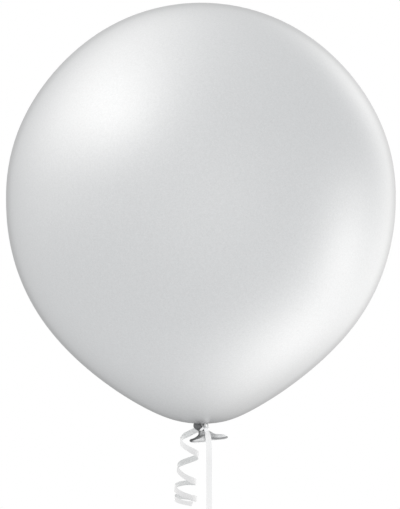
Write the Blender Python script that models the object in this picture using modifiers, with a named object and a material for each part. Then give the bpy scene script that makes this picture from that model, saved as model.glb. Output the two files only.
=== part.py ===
"""Party balloon: a round latex envelope, knotted at the neck and dressed with curling ribbon.

Metres, +Z up. The origin is on the balloon's axis, level with its widest ring. +X is the
viewer's right and -Y faces the viewer.
"""

import math

import bmesh
import bpy
from mathutils import Euler, Matrix, Vector

MM = 0.001
GAP = 0.3 * MM

# The envelope: heights are measured from its widest ring.
DIAMETER = 600 * MM
CROWN_HEIGHT = 303.5 * MM
TAPER_HEIGHT = 344.5 * MM
TAPER_PULL = 0.30
FILM_WALL = 3 * MM
THROAT_RADIUS = 3.2 * MM
ENVELOPE_SIDES = 48
CROWN_RINGS = 11
TAPER_RINGS = 13

# The overhand knot in the neck: a fat turn of latex on the left, the neck's own strand on the right.
KNOT_CENTRE = Vector((-2.3, -0.6, -349.6)) * MM
KNOT_SIZE = Vector((17.2, 14.4, 9.2)) * MM
STRAND_RADIUS = 2.9 * MM
WAIST_X = 4.8 * MM
STRAND_END_Z = -357.2 * MM

# The free end of the neck, spread out flat like a fish's tail, and its rolled lip.
TAIL_WALL = 1.0 * MM
TAIL_WAIST_RADIUS = 3.0 * MM
TAIL_TOP_Z = STRAND_END_Z - GAP
MOUTH_CENTRE_X = 13.5 * MM
MOUTH_Z = -366.4 * MM
MOUTH_HALF_WIDTH = 27.2 * MM
MOUTH_HALF_DEPTH = 7.0 * MM
MOUTH_RISE_RIGHT = 2.6 * MM
MOUTH_TWIST = 5.0 * MM
TAIL_SIDES = 40
TAIL_RINGS = 6
BEAD_RADIUS = 1.2 * MM

# Curling ribbon: a flat band, tied round the strand under the knot.
RIBBON_WIDTH = 7.5 * MM
RIBBON_THICK = 0.8 * MM
WRAP_CENTRE = Vector((4.8, 0.0, -354.6)) * MM
WRAP_RADIUS = 4.7 * MM
WRAP_TUBE = 1.25 * MM
WRAP_TILT = math.radians(-20)
BOW_KNOT_CENTRE = Vector((9.6, -7.6, -353.4)) * MM
BOW_KNOT_SIZE = Vector((5.4, 4.6, 4.8)) * MM
BOW_LOOP_CENTRE = Vector((10.0, -4.2, -347.6)) * MM
BOW_LOOP_SIZE = Vector((6.4, 5.0, 4.6)) * MM

# The straight tail hangs in front of the mouth and is held taut from below.
TAIL_X = 12.9 * MM
TAIL_Y = -13.8 * MM
STRAIGHT_TOP = Vector((10.6, -11.8, -357.0)) * MM
STRAIGHT_END_Z = -487 * MM
END_KNOT_SIZE = Vector((9.0, 7.0, 9.4)) * MM
HAND_LOOP_WIDTH = 26 * MM
HAND_LOOP_HEIGHT = 56 * MM
HAND_LOOP_FLAT = 12 * MM

# The curled tail: a band wound in a left-handed helix that closes up towards its cut end. It leaves
# the tie behind the neck, and its first part turn is clear of the mouth's left corner.
CURL_RADIUS = 15.5 * MM
CURL_TOP = Vector((-18.3, 1.0, -378.6)) * MM
CURL_BOTTOM = Vector((-22.6, 1.0, -470.5)) * MM
LEAD_CENTRE = Vector((-17.5, 1.0)) * MM
LEAD_START_ANGLE = math.radians(48)
LEAD_END_ANGLE = math.radians(196)
LEAD_TOP_Z = -357.5 * MM
LEAD_BOTTOM_Z = -373.0 * MM

BAND_SIDES = 12


def clear_scene():
    for thing in list(bpy.data.objects):
        bpy.data.objects.remove(thing, do_unlink=True)


def new_collection(name):
    collection = bpy.data.collections.new(name)
    bpy.context.scene.collection.children.link(collection)
    return collection


def finish(name, colour, roughness, metallic):
    material = bpy.data.materials.new(name)
    material.use_nodes = True
    shader = material.node_tree.nodes["Principled BSDF"]
    shader.inputs["Base Color"].default_value = (*colour, 1.0)
    shader.inputs["Roughness"].default_value = roughness
    shader.inputs["Metallic"].default_value = metallic
    return material


def add_object(name, data, collection, material):
    thing = bpy.data.objects.new(name, data)
    collection.objects.link(thing)
    data.materials.append(material)
    return thing


def mesh_from(bm, name, smooth_angle=40):
    mesh = bpy.data.meshes.new(name)
    bm.to_mesh(mesh)
    bm.free()
    mesh.shade_smooth()
    mesh.set_sharp_from_angle(angle=math.radians(smooth_angle))
    return mesh


def ellipsoid(name, centre, size, sides, rings):
    bm = bmesh.new()
    bmesh.ops.create_uvsphere(bm, u_segments=sides, v_segments=rings, radius=0.5)
    place = Matrix.Translation(centre) @ Matrix.Diagonal((*size, 1.0))
    bmesh.ops.transform(bm, matrix=place, verts=bm.verts)
    return mesh_from(bm, name)


def smooth_route(corners, count):
    """A Catmull-Rom curve through the corners, as evenly stepped points."""
    padded = [2 * corners[0] - corners[1]] + corners + [2 * corners[-1] - corners[-2]]
    route = []
    spans = len(corners) - 1
    for step in range(count):
        along = step * spans / (count - 1)
        span = min(int(along), spans - 1)
        t = along - span
        a, b, c, d = padded[span:span + 4]
        route.append(0.5 * (2 * b + (c - a) * t + (2 * a - 5 * b + 4 * c - d) * t * t
                            + (3 * b - a - 3 * c + d) * t ** 3))
    return route


def tube_curve(name, route, radius, closed=False):
    curve = bpy.data.curves.new(name, "CURVE")
    curve.dimensions = "3D"
    curve.bevel_depth = radius
    curve.bevel_resolution = 2
    curve.use_fill_caps = not closed
    spline = curve.splines.new("POLY")
    spline.points.add(len(route) - 1)
    spline.use_cyclic_u = closed
    for index, place in enumerate(route):
        spline.points[index].co = (*place, 1.0)
    return curve


def mesh_from_curve(thing):
    """Turn a curve object into a mesh object with welded caps."""
    graph = bpy.context.evaluated_depsgraph_get()
    mesh = bpy.data.meshes.new_from_object(thing.evaluated_get(graph))
    bm = bmesh.new()
    bm.from_mesh(mesh)
    bmesh.ops.remove_doubles(bm, verts=bm.verts, dist=0.01 * MM)
    bm.to_mesh(mesh)
    bm.free()
    return mesh


def envelope_radius(depth_share):
    """Radius of the tapering lower half, from 0 at the widest ring to 1 at the bottom."""
    return 0.5 * DIAMETER * math.sqrt(1 - depth_share ** 2) * (1 - TAPER_PULL * depth_share ** 3)


def envelope_profile():
    """Outer side of the envelope from the crown down to the open throat."""
    points = []
    for ring in range(CROWN_RINGS):
        angle = 0.5 * math.pi * (1 - ring / CROWN_RINGS)
        radius = 0 if ring == 0 else 0.5 * DIAMETER * math.cos(angle)
        points.append((radius, CROWN_HEIGHT * math.sin(angle)))
    for ring in range(TAPER_RINGS):
        share = math.sin(0.5 * math.pi * ring / TAPER_RINGS)
        points.append((envelope_radius(share), -TAPER_HEIGHT * share))
    points.append((THROAT_RADIUS, -TAPER_HEIGHT))
    return points


def make_envelope(collection, material):
    bm = bmesh.new()
    verts = [bm.verts.new((radius, 0, height)) for radius, height in envelope_profile()]
    for upper, lower in zip(verts, verts[1:]):
        bm.edges.new((upper, lower))
    mesh = bpy.data.meshes.new("envelope")
    bm.to_mesh(mesh)
    bm.free()
    envelope = add_object("envelope", mesh, collection, material)
    screw = envelope.modifiers.new("turn", "SCREW")
    screw.axis = "Z"
    screw.steps = ENVELOPE_SIDES
    screw.render_steps = ENVELOPE_SIDES
    screw.use_merge_vertices = True
    screw.merge_threshold = 0.01 * MM
    screw.use_smooth_shade = True
    wall = envelope.modifiers.new("film wall", "SOLIDIFY")
    wall.thickness = FILM_WALL
    wall.offset = -1
    return envelope


def make_neck_knot(collection, cutters, material):
    turn = ellipsoid("neck_knot", KNOT_CENTRE, KNOT_SIZE, 28, 14)
    knot = add_object("neck_knot", turn, collection, material)
    corners = [KNOT_CENTRE + Vector((0.8 * MM, 0, 0.4 * MM)),
               Vector((0.75 * WAIST_X, 0, KNOT_CENTRE.z)),
               Vector((WAIST_X, 0, KNOT_CENTRE.z - 3.6 * MM)),
               Vector((WAIST_X, 0, STRAND_END_Z))]
    curve = tube_curve("neck_strand", smooth_route(corners, 10), STRAND_RADIUS)
    guide = bpy.data.objects.new("neck_strand", curve)
    cutters.objects.link(guide)
    strand = bpy.data.objects.new("neck_strand_solid", mesh_from_curve(guide))
    strand.matrix_world = guide.matrix_world
    cutters.objects.link(strand)
    bpy.data.objects.remove(guide)
    strand.hide_render = True
    strand.display_type = "WIRE"
    join = knot.modifiers.new("join strand", "BOOLEAN")
    join.operation = "UNION"
    join.solver = "EXACT"
    join.object = strand
    return knot


def mouth_outline(angle, spread):
    """A point on the tail at this angle, from its waist (spread 0) to its mouth (spread 1)."""
    ease = spread ** 1.4
    centre_x = WAIST_X + (MOUTH_CENTRE_X - WAIST_X) * ease
    half_width = TAIL_WAIST_RADIUS + (MOUTH_HALF_WIDTH - TAIL_WAIST_RADIUS) * ease
    half_depth = TAIL_WAIST_RADIUS + (MOUTH_HALF_DEPTH - TAIL_WAIST_RADIUS) * ease
    wave = MOUTH_RISE_RIGHT * math.cos(angle) + MOUTH_TWIST * math.sin(2 * angle)
    height = TAIL_TOP_Z + (MOUTH_Z - TAIL_TOP_Z) * spread + wave * spread ** 2
    return Vector((centre_x + half_width * math.cos(angle), half_depth * math.sin(angle), height))


def make_neck_tail(collection, material):
    bm = bmesh.new()
    bmesh.ops.create_circle(bm, cap_ends=True, segments=TAIL_SIDES, radius=TAIL_WAIST_RADIUS)
    rim = [edge for edge in bm.edges if edge.is_boundary]
    angles = {vert: math.atan2(vert.co.y, vert.co.x) for vert in bm.verts}
    for vert, angle in angles.items():
        vert.co = mouth_outline(angle, 0)
    for ring in range(1, TAIL_RINGS + 1):
        grown = bmesh.ops.extrude_edge_only(bm, edges=rim)["geom"]
        new_verts = [item for item in grown if isinstance(item, bmesh.types.BMVert)]
        rim = [item for item in grown if isinstance(item, bmesh.types.BMEdge)
               and all(vert in new_verts for vert in item.verts)]
        old_angles = angles
        angles = {}
        for vert in new_verts:
            source = min(old_angles, key=lambda other: (other.co - vert.co).length_squared)
            angles[vert] = old_angles[source]
        for vert, angle in angles.items():
            vert.co = mouth_outline(angle, ring / TAIL_RINGS)
    bmesh.ops.recalc_face_normals(bm, faces=bm.faces)
    bm.faces.ensure_lookup_table()
    if bm.faces[0].normal.z < 0:
        bmesh.ops.reverse_faces(bm, faces=bm.faces)
    tail = add_object("neck_tail", mesh_from(bm, "neck_tail"), collection, material)
    wall = tail.modifiers.new("tail wall", "SOLIDIFY")
    wall.thickness = TAIL_WALL
    wall.offset = -1
    return tail


def make_mouth_bead(collection, material):
    step = 2 * math.pi / TAIL_SIDES
    route = []
    for side in range(TAIL_SIDES):
        rim = mouth_outline(side * step, 1.0)
        along = mouth_outline((side + 1) * step, 1.0) - mouth_outline((side - 1) * step, 1.0)
        flare = rim - mouth_outline(side * step, 1 - 1 / TAIL_RINGS)
        outward = flare - flare.project(along)
        route.append(rim + outward.normalized() * (BEAD_RADIUS + 2 * GAP))
    return add_object("mouth_bead", tube_curve("mouth_bead", route, BEAD_RADIUS, closed=True),
                      collection, material)


def make_ribbon_wrap(collection, material):
    bm = bmesh.new()
    section = bmesh.ops.create_circle(bm, segments=10, radius=WRAP_TUBE)["verts"]
    upright = Matrix.Translation((WRAP_RADIUS, 0, 0)) @ Matrix.Rotation(math.radians(90), 4, "X")
    bmesh.ops.transform(bm, matrix=upright, verts=section)
    bmesh.ops.spin(bm, geom=bm.verts[:] + bm.edges[:], cent=(0, 0, 0), axis=(0, 0, 1),
                   angle=2 * math.pi, steps=28, use_merge=True)
    bmesh.ops.remove_doubles(bm, verts=bm.verts, dist=0.01 * MM)
    place = Matrix.Translation(WRAP_CENTRE) @ Euler((0, WRAP_TILT, 0)).to_matrix().to_4x4()
    bmesh.ops.transform(bm, matrix=place, verts=bm.verts)
    bmesh.ops.recalc_face_normals(bm, faces=bm.faces)
    return add_object("ribbon_wrap", mesh_from(bm, "ribbon_wrap"), collection, material)


def make_band_loop(name, outline, width, collection, material):
    """A closed loop of flat band: the outline lies in a plane of constant Y."""
    bm = bmesh.new()
    verts = [bm.verts.new((place.x, place.y - 0.5 * width, place.z)) for place in outline]
    edges = [bm.edges.new((verts[i - 1], verts[i])) for i in range(len(verts))]
    grown = bmesh.ops.extrude_edge_only(bm, edges=edges)["geom"]
    far_side = [item for item in grown if isinstance(item, bmesh.types.BMVert)]
    bmesh.ops.translate(bm, vec=(0, width, 0), verts=far_side)
    bmesh.ops.recalc_face_normals(bm, faces=bm.faces)
    loop = add_object(name, mesh_from(bm, name), collection, material)
    thick = loop.modifiers.new("band thickness", "SOLIDIFY")
    thick.thickness = RIBBON_THICK
    thick.offset = 0
    return loop


def oval_outline(centre, width, height, sides):
    outline = []
    for side in range(sides):
        angle = 2 * math.pi * side / sides
        outline.append(centre + Vector((0.5 * width * math.cos(angle), 0,
                                        0.5 * height * math.sin(angle))))
    return outline


def hand_loop_outline(top):
    """A drop-shaped loop with a flat run along its bottom, where a hook or a finger bears."""
    bottom_z = top.z - HAND_LOOP_HEIGHT
    half = 0.5 * HAND_LOOP_WIDTH
    corner = half - 0.5 * HAND_LOOP_FLAT
    shoulder_z = bottom_z + 0.42 * HAND_LOOP_HEIGHT
    right = []
    for step in range(BAND_SIDES // 2 + 1):
        turn = 0.5 * math.pi * step / (BAND_SIDES // 2)
        right.append((0.5 * HAND_LOOP_FLAT + corner * math.sin(turn),
                      bottom_z + corner * (1 - math.cos(turn))))
    right.append((half, shoulder_z))
    for step in range(1, BAND_SIDES // 2 + 1):
        share = step / (BAND_SIDES // 2)
        narrow = 0.5 * (1 + math.cos(math.pi * share))
        right.append((1.2 * MM + (half - 1.2 * MM) * narrow,
                      shoulder_z + (top.z - shoulder_z) * share))
    left = [(-x, z) for x, z in reversed(right)]
    return [Vector((top.x + x, top.y, z)) for x, z in right + left]


def make_straight_tail(collection, material):
    foot = Vector((TAIL_X, TAIL_Y, STRAIGHT_END_Z))
    corners = [STRAIGHT_TOP, Vector((12.0 * MM, TAIL_Y, -366 * MM)),
               Vector((TAIL_X, TAIL_Y, -380 * MM))]
    route = smooth_route(corners, 5)
    steps = 6
    for step in range(1, steps + 1):
        route.append(corners[-1].lerp(foot, step / steps))
    curve = tube_curve("ribbon_tail_straight", route, 0.5 * RIBBON_WIDTH)
    return add_object("ribbon_tail_straight", curve, collection, material)


def make_curl_lead(collection, material):
    """The first part turn of the curl, from behind the neck round to the left."""
    radius = 0.5 * RIBBON_WIDTH
    turn_radius = CURL_RADIUS - radius
    steps = 9
    route = []
    for step in range(steps + 1):
        share = step / steps
        angle = LEAD_START_ANGLE + (LEAD_END_ANGLE - LEAD_START_ANGLE) * share
        route.append(Vector((LEAD_CENTRE.x + turn_radius * math.cos(angle),
                             LEAD_CENTRE.y + turn_radius * math.sin(angle),
                             LEAD_TOP_Z + (LEAD_BOTTOM_Z - LEAD_TOP_Z) * share)))
    foot = Vector((route[-1].x, route[-1].y, CURL_TOP.z + GAP))
    route += [route[-1].lerp(foot, 0.6), foot]
    curve = tube_curve("ribbon_curl_lead", route, radius)
    return add_object("ribbon_curl_lead", curve, collection, material)


def make_curl(collection, material):
    """The space that the curl's other turns fill, as one fat tube."""
    route = []
    for step in range(6):
        share = step / 5
        place = CURL_TOP.lerp(CURL_BOTTOM, share)
        place.x = CURL_TOP.x + (CURL_BOTTOM.x - CURL_TOP.x) * share ** 2
        route.append(place)
    curve = tube_curve("ribbon_curl", route, CURL_RADIUS)
    curve.bevel_resolution = 4
    return add_object("ribbon_curl", curve, collection, material)


def main():
    clear_scene()
    parts = new_collection("party_balloon")
    cutters = new_collection("cutters")
    film = finish("silver film", (0.63, 0.64, 0.66), 0.28, 0.55)
    thick_latex = finish("gathered latex", (0.11, 0.11, 0.115), 0.38, 0.35)
    ribbon = finish("white ribbon", (0.86, 0.87, 0.87), 0.3, 0.0)

    make_envelope(parts, film)
    make_neck_knot(parts, cutters, thick_latex)
    make_neck_tail(parts, thick_latex)
    make_mouth_bead(parts, thick_latex)
    make_ribbon_wrap(parts, ribbon)
    add_object("ribbon_knot", ellipsoid("ribbon_knot", BOW_KNOT_CENTRE, BOW_KNOT_SIZE, 16, 8),
               parts, ribbon)
    small = oval_outline(BOW_LOOP_CENTRE, BOW_LOOP_SIZE.x, BOW_LOOP_SIZE.z, 20)
    make_band_loop("ribbon_loop", small, BOW_LOOP_SIZE.y, parts, ribbon)
    make_straight_tail(parts, ribbon)
    make_curl_lead(parts, ribbon)
    make_curl(parts, ribbon)
    end_knot = Vector((TAIL_X, TAIL_Y, STRAIGHT_END_Z - GAP - 0.5 * END_KNOT_SIZE.z))
    add_object("ribbon_end_knot", ellipsoid("ribbon_end_knot", end_knot, END_KNOT_SIZE, 16, 10),
               parts, ribbon)
    loop_top = end_knot - Vector((0, 0, 0.5 * END_KNOT_SIZE.z + GAP + RIBBON_THICK))
    make_band_loop("ribbon_end_loop", hand_loop_outline(loop_top), RIBBON_WIDTH, parts, ribbon)


main()
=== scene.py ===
# %% [markdown]
# # A party balloon, tied off and dressed with curling ribbon
#
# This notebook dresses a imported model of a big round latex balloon. The model gives the size and the
# place of every piece. Each step below makes one piece or one finish, and says why it is made so.
# Lengths are in metres, +Z is up, +X is the viewer's right and -Y faces the viewer. The origin is on
# the balloon's axis, level with its widest ring.

# %% Load the model
import math

import bmesh
import bpy
from mathutils import Euler, Matrix, Vector, noise


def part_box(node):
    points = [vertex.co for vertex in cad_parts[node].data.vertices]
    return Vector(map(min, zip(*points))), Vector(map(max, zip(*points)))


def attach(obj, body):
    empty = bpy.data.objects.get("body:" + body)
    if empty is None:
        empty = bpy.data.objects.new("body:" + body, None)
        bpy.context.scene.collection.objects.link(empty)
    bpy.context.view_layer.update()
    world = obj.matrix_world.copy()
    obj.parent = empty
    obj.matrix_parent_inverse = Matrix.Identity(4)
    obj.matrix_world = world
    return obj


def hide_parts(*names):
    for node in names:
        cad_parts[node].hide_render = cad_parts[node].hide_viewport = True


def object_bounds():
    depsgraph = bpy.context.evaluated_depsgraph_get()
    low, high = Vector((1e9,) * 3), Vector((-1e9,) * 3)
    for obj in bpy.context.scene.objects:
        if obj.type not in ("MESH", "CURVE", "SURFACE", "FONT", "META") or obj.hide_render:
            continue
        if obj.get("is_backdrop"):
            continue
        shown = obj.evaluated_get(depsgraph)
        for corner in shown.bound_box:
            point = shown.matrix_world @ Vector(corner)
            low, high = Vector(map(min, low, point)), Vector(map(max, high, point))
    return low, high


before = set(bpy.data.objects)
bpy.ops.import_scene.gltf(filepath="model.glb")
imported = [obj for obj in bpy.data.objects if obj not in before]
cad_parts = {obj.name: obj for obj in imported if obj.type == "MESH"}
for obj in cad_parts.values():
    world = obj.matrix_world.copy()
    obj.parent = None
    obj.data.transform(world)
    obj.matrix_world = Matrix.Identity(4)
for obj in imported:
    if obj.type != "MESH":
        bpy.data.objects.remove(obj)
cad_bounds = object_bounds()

MM = 0.001
ROOT = "root"
print("nodes:", sorted(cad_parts))

# %% [markdown]
# ## Sizes taken from the model
#
# The envelope's box gives its radius and its two heights. Reading them from the model, and not typing
# them again, keeps the dressed balloon on the solids if the model changes.

# %% Sizes
envelope_low, envelope_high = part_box("envelope")
RADIUS = envelope_high.x
CROWN = envelope_high.z
TAPER = -envelope_low.z
RIBBON_WIDTH = 8.9 * MM
PIXELS_ACROSS = 389.9
PIXEL = 2 * RADIUS / PIXELS_ACROSS
print(f"envelope {2 * RADIUS:.3f} m across, {CROWN + TAPER:.3f} m tall, {PIXEL / MM:.3f} mm a pixel")

# %% [markdown]
# ## The camera
#
# The balloon is seen from the front, level, with a long lens, so that its outline is nearly the one
# that a drawing would give. The image is 400 by 509 pixels. The focal length follows from similar
# triangles: what the frame spans at the balloon is to its distance as the sensor is to the lens.

# %% Camera
IMAGE_WIDTH, IMAGE_HEIGHT = 400, 509
ORIGIN_PIXEL = Vector((200.9, 200.5))
CAMERA_DISTANCE = 4.0
SENSOR = 36.0
SPHERE_GAIN = 1.0030


def add_camera():
    data = bpy.data.cameras.new("camera")
    data.sensor_fit = "VERTICAL"
    data.sensor_height = SENSOR
    data.lens = SENSOR * CAMERA_DISTANCE / (IMAGE_HEIGHT * PIXEL * SPHERE_GAIN)
    camera = bpy.data.objects.new("camera", data)
    bpy.context.scene.collection.objects.link(camera)
    camera.location = ((IMAGE_WIDTH / 2 - ORIGIN_PIXEL.x) * PIXEL, -CAMERA_DISTANCE,
                       (ORIGIN_PIXEL.y - IMAGE_HEIGHT / 2) * PIXEL)
    camera.rotation_euler = Euler((math.radians(90), 0, 0))
    bpy.context.scene.camera = camera
    print(f"lens {data.lens:.1f} mm, {CAMERA_DISTANCE} m away, eye at z = {camera.location.z:.3f} m")


add_camera()

# %% [markdown]
# ## Helpers: a smooth route and a sweep
#
# Ribbon, strand and lip are all one outline carried along a route. `smooth_route` runs a Catmull-Rom
# curve through a few points. `frames_along` stands a small coordinate frame at each point of the
# route: its third axis looks along the route and its first lies across it.


# %% Routes
def millimetres(points):
    return [Vector(point) * MM for point in points]


def smooth_route(corners, count, closed=False):
    """Evenly stepped values on a Catmull-Rom curve through the corners."""
    if closed:
        padded = [corners[-1]] + corners + corners[:2]
        spans, last = len(corners), count
    else:
        padded = [2 * corners[0] - corners[1]] + corners + [2 * corners[-1] - corners[-2]]
        spans, last = len(corners) - 1, count - 1
    route = []
    for step in range(count):
        along = step * spans / last
        span = min(int(along), spans - 1)
        t = along - span
        a, b, c, d = padded[span:span + 4]
        route.append(0.5 * (2 * b + (c - a) * t + (2 * a - 5 * b + 4 * c - d) * t * t
                            + (3 * b - a - 3 * c + d) * t ** 3))
    return route


def frames_along(route, across, closed=False):
    """A placing matrix at each point; across gives the outline's first axis there."""
    frames = []
    for index, place in enumerate(route):
        if closed:
            before, after = route[index - 1], route[(index + 1) % len(route)]
        else:
            before, after = route[max(index - 1, 0)], route[min(index + 1, len(route) - 1)]
        forward = (after - before).normalized()
        side = (across[index] - forward * across[index].dot(forward)).normalized()
        turn = Matrix((side, forward.cross(side), forward)).transposed()
        frames.append(Matrix.Translation(place) @ turn.to_4x4())
    return frames


# %% [markdown]
# `sweep_into` draws the outline in the first frame and extrudes it from frame to frame. It also
# leaves three marks on every vertex: how far along the route it is, where across the outline, and
# on which face. The finishes read these marks, so their fine lines follow the ribbon round its curls.


# %% Sweep
def sweep_into(bm, outline, frames, closed=False):
    """Carry a closed outline, a list of (x, y), through the frames, and close its ends."""
    along = bm.verts.layers.float.get("along") or bm.verts.layers.float.new("along")
    across = bm.verts.layers.float.get("across") or bm.verts.layers.float.new("across")
    outer = bm.verts.layers.float.get("outer") or bm.verts.layers.float.new("outer")
    ring = [bm.verts.new(frames[0] @ Vector((x, y, 0))) for x, y in outline]
    for vert, (x, y) in zip(ring, outline):
        vert[across] = x
        vert[outer] = 1.0 if y > 0 else 0.0
    first = [bm.edges.new((ring[i - 1], ring[i])) for i in range(len(ring))]
    edges = first
    gone = 0.0
    for before, after in zip(frames, frames[1:]):
        grown = bmesh.ops.extrude_edge_only(bm, edges=edges)["geom"]
        verts = [item for item in grown if isinstance(item, bmesh.types.BMVert)]
        new = set(verts)
        edges = [item for item in grown if isinstance(item, bmesh.types.BMEdge)
                 and item.verts[0] in new and item.verts[1] in new]
        bmesh.ops.transform(bm, matrix=after @ before.inverted(), verts=verts)
        gone += (after.translation - before.translation).length
        for vert in verts:
            vert[along] = gone
    if closed:
        bmesh.ops.bridge_loops(bm, edges=first + edges)
    else:
        bmesh.ops.edgeloop_fill(bm, edges=first)
        bmesh.ops.edgeloop_fill(bm, edges=edges)


def round_outline(radius, sides, flatten=1.0, pleats=0, depth=0.0):
    """A circle or ellipse, its edge pulled into pleats."""
    points = []
    for side in range(sides):
        angle = 2 * math.pi * side / sides
        reach = radius * (1 + depth * math.cos(pleats * angle))
        points.append((reach * math.cos(angle), flatten * reach * math.sin(angle)))
    return points


# %% [markdown]
# Every piece ends the same way: its faces are turned outwards, it is shaded smooth, it rides on the
# one body, and it hides the plain solids that it stands for.


# %% Finish a piece
def finish_piece(bm, name, nodes, sharp_angle=180):
    bmesh.ops.recalc_face_normals(bm, faces=bm.faces)
    mesh = bpy.data.meshes.new(name)
    bm.to_mesh(mesh)
    bm.free()
    mesh.shade_smooth()
    mesh.set_sharp_from_angle(angle=math.radians(sharp_angle))
    piece = bpy.data.objects.new(name, mesh)
    bpy.context.scene.collection.objects.link(piece)
    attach(piece, ROOT)
    if nodes:
        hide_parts(*nodes)
    low, high = mesh_box(mesh)
    print(f"{name}: {len(mesh.polygons)} faces, z {low.z / MM:.1f} to {high.z / MM:.1f} mm")
    return piece


def mesh_box(mesh):
    corners = [vert.co for vert in mesh.vertices]
    return (Vector([min(co[axis] for co in corners) for axis in range(3)]),
            Vector([max(co[axis] for co in corners) for axis in range(3)]))


# %% [markdown]
# ## The ribbon's section
#
# Curling ribbon is a polypropylene band, thin and finely ribbed along its length. It could be a flat
# strip with ribs in the shading only. Here the section itself carries the ribs, a few hundredths of a
# millimetre high, so that close views and the mesh itself have them too.

# %% Ribbon section
RIBBON_THICK = 0.22 * MM
RIB_COUNT = 9
RIB_HEIGHT = 0.03 * MM


def ribbon_outline(width=RIBBON_WIDTH, thick=RIBBON_THICK):
    """A thin strip, its width along x, both faces gently ribbed."""
    steps = 2 * RIB_COUNT
    face = [(width * (step / steps - 0.5), RIB_HEIGHT * (step % 2)) for step in range(steps + 1)]
    top = [(x, 0.5 * thick + rib) for x, rib in face]
    bottom = [(x, -0.5 * thick - rib) for x, rib in reversed(face)]
    return top + bottom


# %% [markdown]
# ## The curled tail
#
# Pulled over a blade, the ribbon curls into a helix whose flat side faces the helix's axis. This one
# is left-handed, as a real curl may be. Hanging free, its turns lie unevenly: wide apart at the top,
# crowded and tipped at the cut end. So the helix isn't given one pitch. `CURL_TURNS` says where the
# ribbon turns back, left and right by turns, and how far the band leans sideways there. Half circles
# seen from above join those places. `CURL_PASSES` says how far each of them dips, and how far the band
# tips to the front or the back on it.

# %% Curled tail
CURL_AXIS_Y = 1.0
CURL_DEPTH = 15.2
CURL_LEAD = ((3.4, 6.6, -351.2), (-4.0, 9.8, -353.6), (-11.4, 12.6, -356.8), (-19.0, 13.6, -360.8),
             (-26.4, 10.6, -364.4))
CURL_TURNS = ((-31.8, -370.0, 0.12), (-3.8, -393.2, 0.05), (-36.4, -411.8, 0.15), (-7.3, -434.6, 0.08),
              (-40.4, -443.2, 0.15), (-6.3, -460.9, 0.05), (-40.2, -459.0, -0.03), (-5.2, -468.0, 0.0))
CURL_PASSES = ((0.8, -0.3), (-0.1, 0.0), (2.4, -0.35), (-2.2, -0.6), (1.3, -0.3), (-2.0, -0.3),
               (2.5, -0.78))
CURL_STEPS = 22
CURL_CUT_SHARE = 0.705


def curl_route():
    """The points of the route, and the direction of the band's width at each."""
    heights = smooth_route([Vector((z, 0, 0)) for _, z, _ in CURL_TURNS],
                           CURL_STEPS * len(CURL_PASSES) + 1)
    points, widths = [], []
    for step, height in enumerate(heights):
        half, t = divmod(step / CURL_STEPS, 1)
        half = int(half)
        if half + t > len(CURL_PASSES) - 1 + CURL_CUT_SHARE:
            break
        (start, _, lean), (stop, _, next_lean) = CURL_TURNS[half:half + 2]
        dip, tip = CURL_PASSES[half]
        swing, bulge = math.cos(math.pi * t), math.sin(math.pi * t)
        behind = -1 if half % 2 == 0 else 1
        points.append(Vector((0.5 * (start + stop) + 0.5 * (start - stop) * swing,
                              CURL_AXIS_Y + behind * CURL_DEPTH * bulge, height.x - dip * bulge)) * MM)
        leaning = lean * max(0, swing) ** 2 + next_lean * min(0, swing) ** 2
        widths.append(Vector((leaning, tip * bulge, 1)))
    lead = smooth_route(millimetres(CURL_LEAD) + points[:1], 7 * len(CURL_LEAD) + 1)[:-1]
    first = [Vector((CURL_TURNS[0][2] * (step / len(lead)) ** 3, 0, 1)) for step in range(len(lead))]
    return lead + points, first + widths


def add_curled_tail():
    route, widths = curl_route()
    bm = bmesh.new()
    sweep_into(bm, ribbon_outline(), frames_along(route, widths))
    curl = finish_piece(bm, "curled_tail", ("ribbon_curl", "ribbon_curl_lead"), 50)
    return curl


curled_tail = add_curled_tail()

# %% [markdown]
# ## The straight tail, its knot and its hand loop
#
# The balloon's lift holds this tail taut, so it falls in one straight line from the tie, passes in
# front of the spread mouth and leaves the picture. Just below it ends in a knotted hand loop, which
# is what holds a floating balloon down. The knot and the loop ride with the tail as its far end.

# %% Straight tail
tail_low, tail_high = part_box("ribbon_tail_straight")
loop_low, loop_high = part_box("ribbon_end_loop")
knot_low, knot_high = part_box("ribbon_end_knot")
TAIL_X = 12.75
TAIL_Y = -12.6
TAIL_START = ((8.4, -8.8, -350.6), (9.2, -9.9, -354.6), (10.6, -11.4, -360.5), (11.8, -12.2, -368.5),
              (12.5, TAIL_Y, -384.0))
TAIL_PINCH = 0.25
TAIL_FOOT = Vector((TAIL_X * MM, TAIL_Y * MM, knot_high.z - 2 * MM))
HAND_LOOP_HALF = 0.5 * (loop_high.x - loop_low.x) - 0.6 * MM


def add_hand_loop():
    """A teardrop of flat ribbon, from the end knot round and back into it."""
    top, bottom = knot_low.z + 2 * MM, loop_low.z + 0.6 * MM
    middle, depth = TAIL_FOOT.x, TAIL_FOOT.y
    drop = top - bottom
    shares = ((0.0, 0.0), (0.28, 0.16), (0.78, 0.42), (1.0, 0.70), (0.74, 0.94), (0.0, 1.0))
    left = [Vector((middle - HAND_LOOP_HALF * out, depth, top - drop * down)) for out, down in shares]
    right = [Vector((2 * middle - point.x, depth - 0.5 * MM, point.z)) for point in reversed(left[:-1])]
    route = smooth_route(left + right, 72)
    bm = bmesh.new()
    sweep_into(bm, ribbon_outline(), frames_along(route, [Vector((0, 1, 0))] * len(route)))
    return finish_piece(bm, "hand_loop", ("ribbon_end_loop",), 50)
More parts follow.
